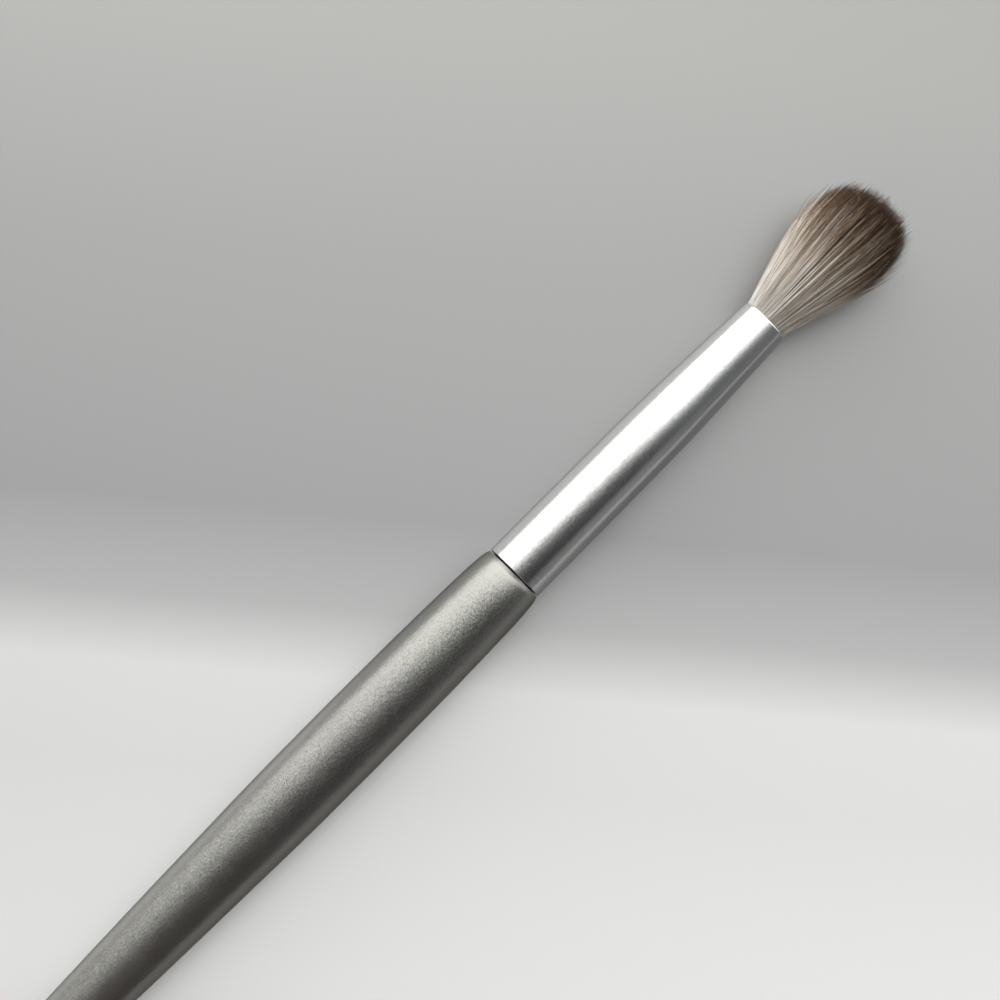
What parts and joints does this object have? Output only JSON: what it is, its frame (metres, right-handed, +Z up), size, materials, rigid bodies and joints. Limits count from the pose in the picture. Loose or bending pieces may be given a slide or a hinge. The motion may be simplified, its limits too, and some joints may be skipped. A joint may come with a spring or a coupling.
{
  "type": "blending brush",
  "caption": "Slim hand brush with a tapered round handle, a metal ferrule and a domed head of soft two-tone hair, for blending eye make-up.",
  "frame": {"origin": "middle of the underside of the brush's box, on the surface that the brush lies on", "axes": "+X along the brush towards the hair, +Z up from the surface, +Y across"},
  "size_m": [0.175, 0.0122, 0.0122],
  "materials": {
    "silver_paint": "turned wood under a satin silver metallic paint",
    "satin_aluminium": "satin, lightly anodised",
    "cured_glue": "clear amber adhesive",
    "clear_resin": "cast resin",
    "tie_band": "matt elastic band",
    "two_tone_fibre": "fine synthetic fibre, pale at the root and dark brown at the tip"
  },
  "bodies": {
    "root": {"handle": "silver_paint", "ferrule": "satin_aluminium", "tenon_glue": "cured_glue", "root_plug": "clear_resin", "root_band": "tie_band", "hair_core": "two_tone_fibre", "hair_inner": "two_tone_fibre", "hair_middle": "two_tone_fibre", "hair_outer": "two_tone_fibre"}
  },
  "joints": []
}
